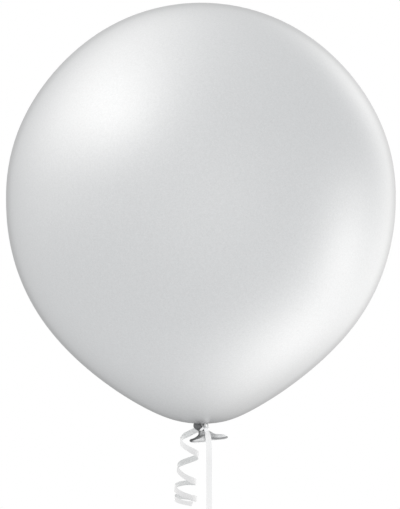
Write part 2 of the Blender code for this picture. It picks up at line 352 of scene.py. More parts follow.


# %% [markdown]
# A knot is bands pressed into each other. Modelling each band and then fusing them with a voxel
# remesh gives one skin that keeps the creases, much as real strands keep them under tension.
# `add_fused` does that for the latex knot too. A vertex mark, set further down, gives the latex its
# grey: partly how far it is stretched, partly painted light and shade.


# %% Fused knots
def strand_into(bm, corners, radii, flatten, count, pleats=0, depth=0.0, across=(0.02, 0.03, 1)):
    route = smooth_route(millimetres(corners), count)
    sizes = smooth_route([Vector((radius, 0, 0)) for radius in radii], count)
    frames = [placed @ Matrix.Diagonal((size.x, size.x, 1, 1))
              for placed, size in zip(frames_along(route, [Vector(across)] * count), sizes)]
    sweep_into(bm, round_outline(MM, 36, flatten, pleats, depth), frames)


def add_fused(bm, name, voxel, smoothing, nodes):
    bmesh.ops.recalc_face_normals(bm, faces=bm.faces)
    rough = bpy.data.objects.new(name + "_rough", bpy.data.meshes.new(name + "_rough"))
    bm.to_mesh(rough.data)
    bm.free()
    bpy.context.scene.collection.objects.link(rough)
    fuse = rough.modifiers.new("fuse", "REMESH")
    fuse.mode = "VOXEL"
    fuse.voxel_size = voxel
    graph = bpy.context.evaluated_depsgraph_get()
    fused = bpy.data.meshes.new_from_object(rough.evaluated_get(graph))
    bpy.data.objects.remove(rough)
    skin = bmesh.new()
    skin.from_mesh(fused)
    bpy.data.meshes.remove(fused)
    for _ in range(smoothing):
        bmesh.ops.smooth_vert(skin, verts=skin.verts, factor=0.5, use_axis_x=True,
                              use_axis_y=True, use_axis_z=True)
    return finish_piece(skin, name, nodes)


def add_end_knot():
    x, y = TAIL_X, TAIL_Y
    z = 0.5 * (knot_low.z + knot_high.z) / MM
    turn = ((x - 1.0, y + 2.2, z + 3.0), (x - 3.2, y + 0.4, z + 1.6), (x - 1.8, y - 2.2, z + 0.2),
            (x + 1.6, y - 2.2, z - 0.6), (x + 3.2, y + 0.2, z - 1.2), (x + 1.4, y + 2.2, z - 2.4))
    bm = bmesh.new()
    strand_into(bm, turn, (1.1, 1.7, 2.0, 2.0, 1.8, 1.1), 0.55, 36, 5, 0.10)
    strand_into(bm, ((x, y, z + 5.4), (x, y, z + 2.0), (x, y, z - 2.0), (x, y, z - 5.4)),
                (2.9, 1.8, 1.8, 2.9), 0.35, 20, 5, 0.08, (1, 0, 0))
    return add_fused(bm, "end_knot", 0.25 * MM, 2, ("ribbon_end_knot",))


def add_straight_tail():
    corners = millimetres(TAIL_START)
    route = smooth_route(corners, 24)
    route += [corners[-1].lerp(TAIL_FOOT, step / 20) for step in range(1, 21)]
    bm = bmesh.new()
    frames = frames_along(route, [Vector((1, 0, 0))] * len(route))
    for step, point in enumerate(route):
        near_tie = min(1, max(0, (point.z / MM + 363) / 6))
        frames[step] = frames[step] @ Matrix.Diagonal((1 - TAIL_PINCH * near_tie, 1, 1, 1))
    sweep_into(bm, ribbon_outline(), frames)
    tail = finish_piece(bm, "straight_tail", ("ribbon_tail_straight",), 50)
    return tail


hand_loop = add_hand_loop()
end_knot = add_end_knot()
straight_tail = add_straight_tail()

# %% [markdown]
# ## The envelope
#
# A blown latex balloon is one thin wall. Its outline is close to a half ellipse above the widest ring.
# Below, a half ellipse draws in towards the neck and then runs nearly flat into it. Real latex is
# never quite even, so a few shallow waves swell the outline and bend its axis by about a millimetre.
# It is spun round the axis with `bmesh.ops.spin`. Round the knot the film is gathered into pleats.

# %% Envelope
SIDES = 192
CROWN_RINGS = 36
TAPER_RINGS = 48
FILM = 0.4 * MM
CROWN_GAIN = 0.7 * MM
TAPER_LOSS = 0.55 * MM
TAPER_PULL = 0.289
NECK_SPREAD = 0.135
CROWN_SWELL, CROWN_LEAN = (-0.40, 1.37, -0.12), (0.45, -0.21, 0.07)
TAPER_SWELL, TAPER_LEAN = (0.56, -0.46, -0.40, 0.26), (-1.21, 0.53, -0.30, 0.12)
FOOT_LEAN = 2.6 * MM
NECK_PLEATS = 19
PLEAT_REACH = 30 * MM
PLEAT_DEPTH = 0.22 * MM
THROAT = ((13.0, -343.2), (10.0, -342.8), (7.4, -342.4), (5.4, -342.9), (4.2, -344.2), (3.5, -346.0),
          (3.2, -348.5))


def waves(share, sizes):
    """Half waves that fit between 0 and 1, in metres: one, two, three of them and so on."""
    return sum(size * math.sin(math.pi * number * share) for number, size in enumerate(sizes, 1)) * MM


def envelope_outline():
    top, bottom = CROWN + CROWN_GAIN, TAPER - TAPER_LOSS
    points = [Vector((0, 0, top))]
    for ring in range(1, CROWN_RINGS):
        share = math.cos(0.5 * math.pi * ring / CROWN_RINGS)
        radius = RADIUS * math.sqrt(1 - share ** 2) + waves(share, CROWN_SWELL)
        points.append(Vector((radius, 0, top * share)))
    for ring in range(TAPER_RINGS):
        share = math.sin(0.5 * math.pi * ring / TAPER_RINGS)
        pull = 1 - TAPER_PULL * share ** 3 + NECK_SPREAD * share ** 40
        radius = RADIUS * math.sqrt(1 - share ** 2) * pull + waves(share, TAPER_SWELL)
        points.append(Vector((radius, 0, -bottom * share)))
    return points + [Vector((radius, 0, z)) * MM for radius, z in THROAT]


def lean(z):
    if z > 0:
        return waves(min(1, z / CROWN), CROWN_LEAN)
    share = min(1, -z / TAPER)
    return waves(share, TAPER_LEAN) + FOOT_LEAN * share ** 30


def add_envelope():
    bm = bmesh.new()
    outline = [bm.verts.new(point) for point in envelope_outline()]
    for upper, lower in zip(outline, outline[1:]):
        bm.edges.new((upper, lower))
    bmesh.ops.spin(bm, geom=bm.verts[:] + bm.edges[:], cent=(0, 0, 0), axis=(0, 0, 1),
                   angle=2 * math.pi, steps=SIDES, use_merge=True)
    bmesh.ops.remove_doubles(bm, verts=bm.verts, dist=0.005 * MM)
    for vert in bm.verts:
        out = math.hypot(vert.co.x, vert.co.y)
        if vert.co.z < 0 and out < PLEAT_REACH:
            angle = math.atan2(vert.co.y, vert.co.x)
            wander = noise.noise(Vector((1.7 * math.cos(angle), 1.7 * math.sin(angle), 4.0)))
            share = 1 - out / PLEAT_REACH
            depth = PLEAT_DEPTH * share ** 1.5 * (1 + 0.6 * wander)
            vert.co.z += depth * math.cos(NECK_PLEATS * (angle + 0.2 * wander))
        vert.co.x += lean(vert.co.z)
    film = finish_piece(bm, "envelope_film", ("envelope",))
    wall = film.modifiers.new("film wall", "SOLIDIFY")
    wall.thickness = FILM
    wall.offset = -1
    return film


envelope = add_envelope()

# %% [markdown]
# ## The knot in the neck
#
# The neck is tied in an overhand knot. From the front it is an egg of bunched latex, with the neck's
# own strand coming out over it at the right and turning down. The knot's turn shows as a roll at the
# back. All three are round bodies of changing thickness with pleats along them, fused into one skin.

# %% Knot
KNOT_EGG = ((-3.7, -0.8, -341.4), (-3.7, -0.9, -344.1), (-3.7, -1.0, -346.8), (-3.7, -1.0, -349.6),
            (-3.7, -1.1, -352.4), (-3.6, -1.2, -355.2))
KNOT_EGG_RADII = (6.8, 7.5, 8.0, 7.6, 5.3, 1.0)
KNOT_STRAND = ((0.4, -4.2, -341.8), (2.2, -5.6, -344.2), (3.6, -6.6, -346.7), (4.8, -7.1, -348.4),
               (5.3, -5.8, -350.2), (4.8, -2.2, -353.0), (4.4, 0.0, -356.2))
KNOT_STRAND_RADII = (2.2, 1.9, 1.8, 1.5, 1.4, 2.4, 2.8)
KNOT_TURN = ((4.8, 1.6, -351.6), (3.0, 4.8, -350.2), (-1.4, 6.2, -348.6), (-5.6, 5.2, -347.0),
             (-8.6, 2.4, -345.8))
KNOT_TURN_RADII = (2.2, 2.7, 3.0, 2.8, 2.0)


def add_knot():
    bm = bmesh.new()
    strand_into(bm, KNOT_EGG, KNOT_EGG_RADII, 0.86, 40, 17, 0.015, (1, 0, 0))
    strand_into(bm, KNOT_STRAND, KNOT_STRAND_RADII, 1.0, 30, 7, 0.06)
    strand_into(bm, KNOT_TURN, KNOT_TURN_RADII, 1.0, 30, 9, 0.04)
    return add_fused(bm, "knot", 0.3 * MM, 2, ("neck_knot",))


knot = add_knot()

# %% [markdown]
# ## The spread end of the neck
#
# Past the tie the neck opens like a fish's tail. Its mouth is a flat, twisted oval. On the right the
# front layer hangs down over the back one. On the left it is pulled up, and one sees under it to the
# inside of the back layer. The list below goes once round the mouth from its right tip, by the front.
# Each line down the tail is a smooth curve from the waist to its place on the mouth. Near a tip the
# latex is folded, so those lines have their own way down: `FOLDS` gives it as shares of the whole.

# %% Spread tail
MOUTH = ((40.2, 0.0, -365.2), (35.2, -4.8, -366.3), (26.5, -7.2, -367.0), (18.0, -8.3, -367.6),
         (10.8, -8.9, -368.2), (7.3, -9.1, -367.6), (6.1, -9.0, -365.0), (4.0, -8.8, -362.9),
         (-2.2, -8.0, -364.9), (-9.4, -5.2, -367.3), (-16.0, 0.2, -370.1), (-13.2, 3.8, -372.2),
         (-7.5, 6.0, -373.0), (-1.0, 7.2, -372.8), (5.5, 7.8, -372.1), (12.0, 8.0, -370.5),
         (19.0, 7.8, -368.0), (26.0, 7.0, -366.4), (32.0, 5.4, -365.4), (37.2, 3.0, -364.8))
FOLDS = {"middle": ((0.25, 0.36), (0.60, 0.70)), "right": ((0.36, 0.52), (0.84, 0.62)),
         "left": ((0.04, 0.34), (0.26, 0.60))}
TAIL_SIDES = 160
TAIL_RINGS = 22
TAIL_FILM = 0.5 * MM
WAIST = Vector((4.9, 0.0, -355.2))
WAIST_HALF = Vector((7.9, 3.0, 0.0))
THROAT_TOP = Vector((4.9, 0.0, -352.4))
THROAT_RADIUS = 2.6
TAIL_PLEATS = 15
TAIL_PLEAT_DEPTH = 0.40
LIP_RADIUS = 1.5 * MM

mouth_rim = smooth_route(millimetres(MOUTH), TAIL_SIDES, closed=True)


def fold_share(angle, fold):
    """How much a line at this angle belongs to the fold on that side."""
    towards = math.cos(angle) if fold == "right" else -math.cos(angle)
    return max(0.0, towards) ** 3


def tail_line(side):
    """One line down the tail, from inside the tie to the mouth."""
    angle = -2 * math.pi * side / TAIL_SIDES
    ring = Vector((math.cos(angle), math.sin(angle), 0))
    top = (THROAT_TOP + THROAT_RADIUS * ring) * MM
    waist = (WAIST + ring * WAIST_HALF) * MM
    rim = mouth_rim[side]
    corners = [top, waist]
    right, left = fold_share(angle, "right"), fold_share(angle, "left")
    for middle, near_right, near_left in zip(FOLDS["middle"], FOLDS["right"], FOLDS["left"]):
        out, down = (Vector(middle) * (1 - right - left) + Vector(near_right) * right
                     + Vector(near_left) * left)
        corners.append(Vector((waist.x + (rim.x - waist.x) * out, waist.y + (rim.y - waist.y) * out,
                               waist.z + (rim.z - waist.z) * down)))
    line = smooth_route(corners + [rim], TAIL_RINGS)
    for step, place in enumerate(line):
        spread = step / (TAIL_RINGS - 1)
        depth = TAIL_PLEAT_DEPTH * MM * math.sin(math.pi * min(1.0, 1.4 * spread)) * (1 - right)
        line[step] = place + depth * math.cos(TAIL_PLEATS * angle) * Vector((0, ring.y, 0.3))
    return line


def add_tail():
    lines = [tail_line(side) for side in range(TAIL_SIDES)]
    bm = bmesh.new()
    drawn_and_light = bm.verts.layers.float.new("drawn_and_light")
    fold = bm.verts.layers.float.new("fold")
    front = bm.verts.layers.float.new("front")
    number = bm.verts.layers.int.new("side")
    ring = bmesh.ops.create_circle(bm, segments=TAIL_SIDES, radius=1)["verts"]
    for side, vert in enumerate(ring):
        vert.co = lines[side][0]
        vert[number] = side
        vert[fold] = fold_share(-2 * math.pi * side / TAIL_SIDES, "left")
        vert[front] = max(0.0, math.sin(2 * math.pi * side / TAIL_SIDES))
    edges = bm.edges[:]
    for step in range(1, TAIL_RINGS):
        grown = bmesh.ops.extrude_edge_only(bm, edges=edges)["geom"]
        verts = [item for item in grown if isinstance(item, bmesh.types.BMVert)]
        new = set(verts)
        edges = [item for item in grown if isinstance(item, bmesh.types.BMEdge)
                 and item.verts[0] in new and item.verts[1] in new]
        for vert in verts:
            vert.co = lines[vert[number]][step]
            vert[drawn_and_light] = step / (TAIL_RINGS - 1)
    tail = finish_piece(bm, "tail_film", ("neck_tail",))
    wall = tail.modifiers.new("tail wall", "SOLIDIFY")
    wall.thickness = TAIL_FILM
    wall.offset = 0
    return tail


tail = add_tail()

# %% [markdown]
# ## The rolled lip
#
# The mouth's edge is rolled over on itself into a bead, which keeps it from tearing. It is a small
# circle swept round the whole mouth.

# %% Rolled lip
LIP_SIDES = 14


def add_lip():
    frames = frames_along(mouth_rim, [Vector((0.02, 1, 0.03))] * TAIL_SIDES, closed=True)
    bm = bmesh.new()
    sweep_into(bm, round_outline(LIP_RADIUS, LIP_SIDES), frames, closed=True)
    return finish_piece(bm, "rolled_lip", ("mouth_bead",))


lip = add_lip()

# %% [markdown]
# ## The tie
#
# One ribbon is tied round the neck under the knot, and both tails come from that tie. Pulled tight,
# the band is creased into a narrow strand, so its section is a thick flattened oval with pleats. It
# comes round the front from lower left to upper right. Two turns lie on each other.

# %% Tie
TIE_TURN = ((8.6, -6.8, -350.6), (5.8, -6.8, -348.4), (4.1, -7.3, -348.8), (2.6, -7.1, -350.2),
            (0.8, -6.0, -351.8), (-1.0, -4.2, -352.9), (-2.1, -1.0, -353.6), (-1.4, 4.0, -354.0),
            (3.6, 7.0, -353.2), (10.0, 5.4, -351.6), (12.2, -1.0, -351.2))
TIE_SECOND_TURN = (1.0, 0.3, -0.9)
TIE_HALF_WIDTH = 1.25
TIE_FLATTEN = 0.40


def add_tie():
    bm = bmesh.new()
    shift = Vector(TIE_SECOND_TURN)
    for corners in (TIE_TURN, [Vector(corner) + shift for corner in TIE_TURN]):
        route = smooth_route(millimetres(corners), 110, closed=True)
        frames = frames_along(route, [Vector((0.1, 0, 1))] * len(route), closed=True)
        outline = round_outline(TIE_HALF_WIDTH * MM, 28, TIE_FLATTEN, 9, 0.05)
        sweep_into(bm, outline, frames, closed=True)
    return finish_piece(bm, "tie_turns", ("ribbon_wrap",), 60)


def add_tie_knot():
    bm = bmesh.new()
    cross = ((4.8, -8.2, -351.8), (7.0, -10.2, -351.0), (9.4, -10.6, -351.4), (11.4, -9.2, -352.4),
             (12.0, -7.0, -353.2))
    strand_into(bm, cross, (1.6, 2.2, 2.3, 2.0, 1.4), 0.6, 30, 7, 0.08)
    under = ((8.4, -7.0, -349.4), (8.5, -8.6, -350.6), (8.3, -9.1, -352.6), (8.7, -9.6, -355.0))
    strand_into(bm, under, (2.0, 2.6, 3.0, 3.4), 0.40, 24, 7, 0.08, (1, 0, 0))
    return add_fused(bm, "tie_knot", 0.22 * MM, 1, ("ribbon_knot",))


def add_small_loop():
    corners = ((8.4, -8.4, -351.4), (6.6, -8.0, -348.8), (6.0, -7.8, -346.2), (7.4, -7.7, -344.3),
               (9.4, -7.7, -344.1), (10.4, -7.8, -346.2), (10.2, -8.2, -349.0), (9.0, -8.6, -351.4))
    route = smooth_route(millimetres(corners), 48)
    bm = bmesh.new()
    frames = frames_along(route, [Vector((0.45, 1, 0.1))] * len(route))
    sweep_into(bm, ribbon_outline(0.62 * RIBBON_WIDTH), frames)
    return finish_piece(bm, "small_loop", ("ribbon_loop",), 50)


tie_turns = add_tie()
tie_knot = add_tie_knot()
small_loop = add_small_loop()

# %% [markdown]
# ## Finishes
#
# A finish is a Principled shader fed by a few patterns. Every pattern but one reads the object's own
# coordinates or the marks on its vertices, so it stays on the piece in any view. The film's darker
# outline reads the angle of view instead, a painted shade. Two effects serve more than one finish, and
# each is built once as a node group: a fine mottle, from the pearl pigment in the latex, and fine
# lines that follow a strand.


# %% Node helpers
def new_group(name, inputs, outputs):
    """A shader group whose sockets are all plain numbers."""
    group = bpy.data.node_groups.new(name, "ShaderNodeTree")
    for label, value in inputs:
        socket = group.interface.new_socket(label, in_out="INPUT", socket_type="NodeSocketFloat")
        socket.default_value = value
    for label in outputs:
        group.interface.new_socket(label, in_out="OUTPUT", socket_type="NodeSocketFloat")
    return group, group.nodes.new("NodeGroupInput"), group.nodes.new("NodeGroupOutput")


def plug(tree, socket, value):
    if isinstance(value, bpy.types.NodeSocket):
        tree.links.new(value, socket)
    else:
        socket.default_value = value


def maths(tree, operation, *values):
    node = tree.nodes.new("ShaderNodeMath")
    node.operation = operation
    for socket, value in zip(node.inputs, values):
        plug(tree, socket, value)
    return node.outputs[0]


def noise_of(tree, vector, scale, detail=2.0):
    node = tree.nodes.new("ShaderNodeTexNoise")
    plug(tree, node.inputs["Vector"], vector)
    node.inputs["Scale"].default_value = scale
    node.inputs["Detail"].default_value = detail
    return node.outputs["Fac"]


def attribute(tree, name):
    node = tree.nodes.new("ShaderNodeAttribute")
    node.attribute_name = name
    return node.outputs["Fac"]


def ramp(tree, factor, stops):
    node = tree.nodes.new("ShaderNodeValToRGB")
    elements = node.color_ramp.elements
    elements[0].position, elements[1].position = stops[0][0], stops[-1][0]
    for place, grey in stops[1:-1]:
        elements.new(place)
    for element, (place, colour) in zip(elements, stops):
        element.position = place
        element.color = (*colour, 1)
    plug(tree, node.inputs["Fac"], factor)
    return node.outputs["Color"]


def shaded(tree, colour, shade):
    """The colour made lighter or darker by a factor near 1."""
    node = tree.nodes.new("ShaderNodeVectorMath")
    node.operation = "SCALE"
    plug(tree, node.inputs[0], colour)
    plug(tree, node.inputs["Scale"], shade)
    return node.outputs[0]


def bump(tree, height, distance, strength):
    node = tree.nodes.new("ShaderNodeBump")
    node.inputs["Strength"].default_value = strength
    node.inputs["Distance"].default_value = distance
    plug(tree, node.inputs["Height"], height)
    return node.outputs["Normal"]


def new_material(name, roughness, metallic, **constants):
    material = bpy.data.materials.new(name)
    material.use_nodes = True
    tree = material.node_tree
    shader = tree.nodes["Principled BSDF"]
    shader.inputs["Roughness"].default_value = roughness
    shader.inputs["Metallic"].default_value = metallic
    for label, value in constants.items():
        shader.inputs[label.replace("_", " ")].default_value = value
    return material, tree, shader


def group_in(tree, group, **values):
    node = tree.nodes.new("ShaderNodeGroup")
    node.node_tree = group
    for label, value in values.items():
        plug(tree, node.inputs[label], value)
    return node.outputs


# %% [markdown]
# ### The pearl mottle
#
# Pearl latex holds tiny plates of mica. From near they glint one by one, from afar they cloud the
# surface by a per cent or two. A noise a few millimetres wide gives the cloud, and a Voronoi pattern
# with one random value a cell gives the plates.

# %% Pearl mottle
CLOUD_SCALE = 330
PLATE_SCALE = 1500


def make_pearl_mottle():
    group, start, end = new_group("pearl mottle", (("Cloud", 0.02), ("Plates", 0.03)),
                                  ("Shade", "Height"))
    place = group.nodes.new("ShaderNodeTexCoord").outputs["Object"]
    cloud = noise_of(group, place, CLOUD_SCALE, 3.0)
    cells = group.nodes.new("ShaderNodeTexVoronoi")
    cells.inputs["Scale"].default_value = PLATE_SCALE
    plug(group, cells.inputs["Vector"], place)
    plates = group.nodes.new("ShaderNodeSeparateColor")
    plug(group, plates.inputs["Color"], cells.outputs["Color"])
    plate = plates.outputs["Red"]
    clouded = maths(group, "MULTIPLY", maths(group, "SUBTRACT", cloud, 0.5), start.outputs["Cloud"])
    plated = maths(group, "MULTIPLY", maths(group, "SUBTRACT", plate, 0.5), start.outputs["Plates"])
    both = maths(group, "ADD", clouded, plated)
    plug(group, end.inputs["Shade"], maths(group, "MULTIPLY_ADD", both, 2.0, 1.0))
    plug(group, end.inputs["Height"], maths(group, "ADD", cloud, maths(group, "MULTIPLY", plate, 0.2)))
    return group


pearl_mottle = make_pearl_mottle()

# %% [markdown]
# ### The stretched film
#
# Mica plates reflect like rough metal, and the rubber round them scatters a little. So the film is
# mostly metallic with a middling roughness, and no sharp gloss. Near the neck the colour is darker,
# partly the hardly stretched latex, which holds more pigment on each square millimetre, and partly
# painted shade on the balloon's underside. A narrow band at the balloon's outline is painted darker
# by the angle of view, a painted shade at its edge.

# %% Film finish
FILM_COLOUR = (0.580, 0.586, 0.593)
FILM_ROUGHNESS = 0.32
FILM_METALLIC = 0.80
FILM_EDGE = (0.80, 0.80, 0.80)
NECK_SHADE = 0.94
NECK_SHADE_REACH = 0.11
LIMB_SHADE = 0.78
LIMB_BAND = (0.73, 0.92)


def film_material():
    material, tree, shader = new_material("silver film", FILM_ROUGHNESS, FILM_METALLIC)
    shader.inputs["Specular Tint"].default_value = (*FILM_EDGE, 1)
    place = tree.nodes.new("ShaderNodeTexCoord").outputs["Object"]
    mottle = group_in(tree, pearl_mottle, Cloud=0.06, Plates=0.05)
    from_neck = tree.nodes.new("ShaderNodeVectorMath")
    from_neck.operation = "DISTANCE"
    plug(tree, from_neck.inputs[0], place)
    from_neck.inputs[1].default_value = (0, 0, -TAPER)
    reach = tree.nodes.new("ShaderNodeMapRange")
    reach.interpolation_type = "SMOOTHSTEP"
    plug(tree, reach.inputs["Value"], from_neck.outputs["Value"])
    reach.inputs["From Min"].default_value = 0.0
    reach.inputs["From Max"].default_value = NECK_SHADE_REACH
    reach.inputs["To Min"].default_value = NECK_SHADE
    reach.inputs["To Max"].default_value = 1.0
    facing = tree.nodes.new("ShaderNodeLayerWeight")
    limb = tree.nodes.new("ShaderNodeMapRange")
    limb.interpolation_type = "SMOOTHSTEP"
    plug(tree, limb.inputs["Value"], facing.outputs["Facing"])
    limb.inputs["From Min"].default_value, limb.inputs["From Max"].default_value = LIMB_BAND
    limb.inputs["To Min"].default_value = 1.0
    limb.inputs["To Max"].default_value = LIMB_SHADE
    # Painted shade: the colour is darkened near the neck and in a narrow band at the outline.
    shade = maths(tree, "MULTIPLY", mottle["Shade"], reach.outputs["Result"])
    shade = maths(tree, "MULTIPLY", shade, limb.outputs["Result"])
    plug(tree, shader.inputs["Base Color"], shaded(tree, FILM_COLOUR, shade))
    plug(tree, shader.inputs["Normal"], bump(tree, mottle["Height"], 0.05 * MM, 0.25))
    return material


# %% [markdown]
# ### The gathered latex
#
# Where the neck isn't stretched the same latex is a dark grey. The spread mouth is stretched thinner
# and gets nearly as light as the envelope. A mark on the vertices gives a grey at each place, and a
# colour ramp turns it into the colour. The mark is partly how thin the latex is and partly painted
# light and shade, given place by place below. A fold doubles the latex, which darkens it again, and
# that darkening is partly painted shade too.

# %% Gathered finish
GATHERED = ((0.0, (0.050, 0.051, 0.053)), (0.10, (0.115, 0.117, 0.120)), (0.30, (0.24, 0.242, 0.245)),
            (0.55, (0.46, 0.465, 0.47)), (1.0, (0.82, 0.823, 0.826)))
SPREAD = ((0.0, (0.10, 0.101, 0.103)), (0.30, (0.36, 0.363, 0.366)), (0.60, (0.60, 0.604, 0.608)),
          (1.0, (0.88, 0.885, 0.89)))


def gathered_material(name, greys, roughness, metallic, gloss):
    material, tree, shader = new_material(name, roughness, metallic, Specular_IOR_Level=gloss)
    place = tree.nodes.new("ShaderNodeTexCoord").outputs["Object"]
    mottle = group_in(tree, pearl_mottle, Cloud=0.06, Plates=0.08)
    grey = ramp(tree, attribute(tree, "drawn_and_light"), greys)
    plug(tree, shader.inputs["Base Color"], shaded(tree, grey, mottle["Shade"]))
    wrinkle = noise_of(tree, place, 900, 4.0)
    plug(tree, shader.inputs["Normal"], bump(tree, wrinkle, 0.2 * MM, 0.35))
    return material


def mark_drawn_and_light(piece, share_at):
    """Write the grey mark on each vertex from its place, partly stretch and partly painted light and
    shade.
    """
    mesh = piece.data
    mark = mesh.attributes.get("drawn_and_light") or mesh.attributes.new("drawn_and_light", "FLOAT", "POINT")
    shares = [share_at(vert.co) for vert in mesh.vertices]
    mark.data.foreach_set("value", shares)
    print(f"{piece.name}: drawn {min(shares):.2f} to {max(shares):.2f}")


# %% [markdown]
# The knot's egg is the darkest and the strand over it is a little lighter. The egg's top and bottom
# and the strand's top are painted lighter, painted light where the envelope and the tie shade them.
# On the lip the right side is stretched thin but painted a little darker, and the left tip is a tight
# roll painted nearly black, partly the roll and partly painted shade. On the spread film the waist
# is grey, raised with painted light in the tie's shadow, and the wings are light, partly the thin
# latex and partly painted light. The waist's left edge, its top under the tie and the front near the
# lip are painted darker, painted shade and painted shadow.

# %% Marks on the latex
EGG_DRAWN, EGG_ENDS_PAINTED_LIGHT, STRAND_DRAWN, STRAND_TOP_PAINTED_LIGHT = 0.12, 0.20, 0.42, 0.45
LIP_LEFT_ROLL_AND_SHADE, LIP_DRAWN_MIDDLE, LIP_RIGHT_DRAWN_AND_SHADE, LIP_DRAWN_BACK = 0.05, 0.70, 0.40, 1.0
WAIST_DRAWN_AND_LIGHT, WING_DRAWN_AND_LIGHT, NEAR_LIP_SHADE, WAIST_EDGE_SHADE = 0.64, 1.0, 0.58, 0.75
strand_route = smooth_route(millimetres(KNOT_STRAND), 40)


def nearest(point, route):
    return min((place - point).length for place in route)


def clamped(value):
    return min(1.0, max(0.0, value))


def knot_share(point):
    on_strand = clamped((3.0 * MM - nearest(point, strand_route)) / (1.0 * MM))
    # Painted light: the egg's top and bottom and the strand's top are made lighter where the envelope
    # and the tie shade them.
    high = clamped((point.z / MM + 347) / 3)
    low = clamped((-352 - point.z / MM) / 2)
    egg = EGG_DRAWN + (EGG_ENDS_PAINTED_LIGHT - EGG_DRAWN) * max(high, low)
    strand = STRAND_DRAWN + (STRAND_TOP_PAINTED_LIGHT - STRAND_DRAWN) * high
    return egg + (strand - egg) * on_strand


def lip_share(point):
    # Painted shade, partly the tight roll: the left tip is darkened nearly to black and the right side
    # darkened.
    along = clamped((point.x / MM + 16) / 24)
    front = LIP_LEFT_ROLL_AND_SHADE + (LIP_DRAWN_MIDDLE - LIP_LEFT_ROLL_AND_SHADE) * along ** 2.5
    front += (LIP_RIGHT_DRAWN_AND_SHADE - LIP_DRAWN_MIDDLE) * clamped((point.x / MM - 14) / 10)
    back = clamped((point.y / MM - 1.0) / 3.0)
    return front + (LIP_DRAWN_BACK - front) * back


def tail_shares(piece):
    mesh = piece.data
    marks = mesh.attributes
    for vert, drawn_and_light, fold, front in zip(mesh.vertices, marks["drawn_and_light"].data, marks["fold"].data,
                                        marks["front"].data):
        spread = drawn_and_light.value
        # Partly painted light: the waist is raised against the tie's shadow, and the wings are lighter,
        # partly the thin latex.
        on_wing = clamped((vert.co.x / MM - 20) / 7)
        on_back = (1 - front.value) * clamped((spread - 0.45) / 0.25)
        opened_and_lit = max(on_wing, 0.88 * on_back * clamped((vert.co.y / MM - 1) / 3))
        # Painted shadow and shade: darker under the tie, along the waist's left edge, and on the front
        # near the lip.
        under_tie_shadow = clamped((vert.co.z / MM + 358) / 1.5)
        edge_shade = clamped(1.6 * under_tie_shadow - 1 - vert.co.x / MM) * clamped((vert.co.z / MM + 364) / 1.5)
        share = WAIST_DRAWN_AND_LIGHT + (WING_DRAWN_AND_LIGHT - WAIST_DRAWN_AND_LIGHT) * opened_and_lit
        share *= 1 - WAIST_EDGE_SHADE * edge_shade
        share -= NEAR_LIP_SHADE * front.value * clamped((spread - 0.72) / 0.28)
        # The left fold is darker, partly the doubled latex and partly painted shade.
        drawn_and_light.value = share * (1 - fold.value * (1 - opened_and_lit))


mark_drawn_and_light(knot, knot_share)
mark_drawn_and_light(lip, lip_share)
tail_shares(tail)

# %% [markdown]
# ### The ribbon
#
# The ribbon is white polypropylene that lets some light through. Its inner face is a little darker
# than the outer one: the blade scrapes it dull, and the rest is painted shade for the inside of the
# curl. Near the tie the ribbon is painted lighter, painted light in the balloon's shade, and it fades
# to its own white further down. The marks `across` and `along` carry fine lines down its length.

# %% Ribbon finish
LINES_ACROSS = 1500
LINES_ALONG = 9


def make_strand_lines():
    group, start, end = new_group("strand lines", (("Depth", 0.03),), ("Shade", "Height"))
    place = group.nodes.new("ShaderNodeCombineXYZ")
    plug(group, place.inputs["X"], maths(group, "MULTIPLY", attribute(group, "across"), LINES_ACROSS))
    plug(group, place.inputs["Y"], maths(group, "MULTIPLY", attribute(group, "along"), LINES_ALONG))
    lines = noise_of(group, place.outputs["Vector"], 1.0, 3.0)
    offset = maths(group, "MULTIPLY", maths(group, "SUBTRACT", lines, 0.5), start.outputs["Depth"])
    plug(group, end.inputs["Shade"], maths(group, "MULTIPLY_ADD", offset, 2.0, 1.0))
    plug(group, end.inputs["Height"], lines)
    return group


strand_lines = make_strand_lines()


def ribbon_material(name, outer, inner, fade=(0.0, 0.1, 1.0)):
    """White ribbon, painted lighter near the tie; the fade is where along it that painted light starts
    and stops fading out, and the factor it ends at.
    """
    material, tree, shader = new_material(name, 0.34, 0.0, IOR=1.49)
    lines = group_in(tree, strand_lines, Depth=0.05)
    # The inner face is a little darker, partly painted shade for the inside of the curl.
    colour = ramp(tree, attribute(tree, "outer"), ((0.0, inner), (1.0, outer)))
    # Painted light: the ribbon is kept lighter near the tie, where the balloon shades it, and darkened
    # further down.
    light_near_tie = tree.nodes.new("ShaderNodeMapRange")
    plug(tree, light_near_tie.inputs["Value"], attribute(tree, "along"))
    light_near_tie.inputs["From Min"].default_value, light_near_tie.inputs["From Max"].default_value = fade[:2]
    light_near_tie.inputs["To Min"].default_value = 1.0
    light_near_tie.inputs["To Max"].default_value = fade[2]
    shade = maths(tree, "MULTIPLY", lines["Shade"], light_near_tie.outputs["Result"])
    plug(tree, shader.inputs["Base Color"], shaded(tree, colour, shade))
    plug(tree, shader.inputs["Normal"], bump(tree, lines["Height"], 0.05 * MM, 0.3))
    return material


# %% Give the finishes
film_finish = film_material()
gathered_finish = gathered_material("gathered latex", GATHERED, 0.42, 0.55, 0.4)
spread_finish = gathered_material("spread latex", SPREAD, 0.50, 0.15, 0.2)
curled_ribbon = ribbon_material("curled ribbon", (0.875, 0.872, 0.876), (0.850, 0.860, 0.862),
                                (0.03, 0.08, 0.76))
straight_ribbon = ribbon_material("straight ribbon", (0.905, 0.905, 0.908), (0.89, 0.89, 0.89),
                                  (0.006, 0.05, 0.868))
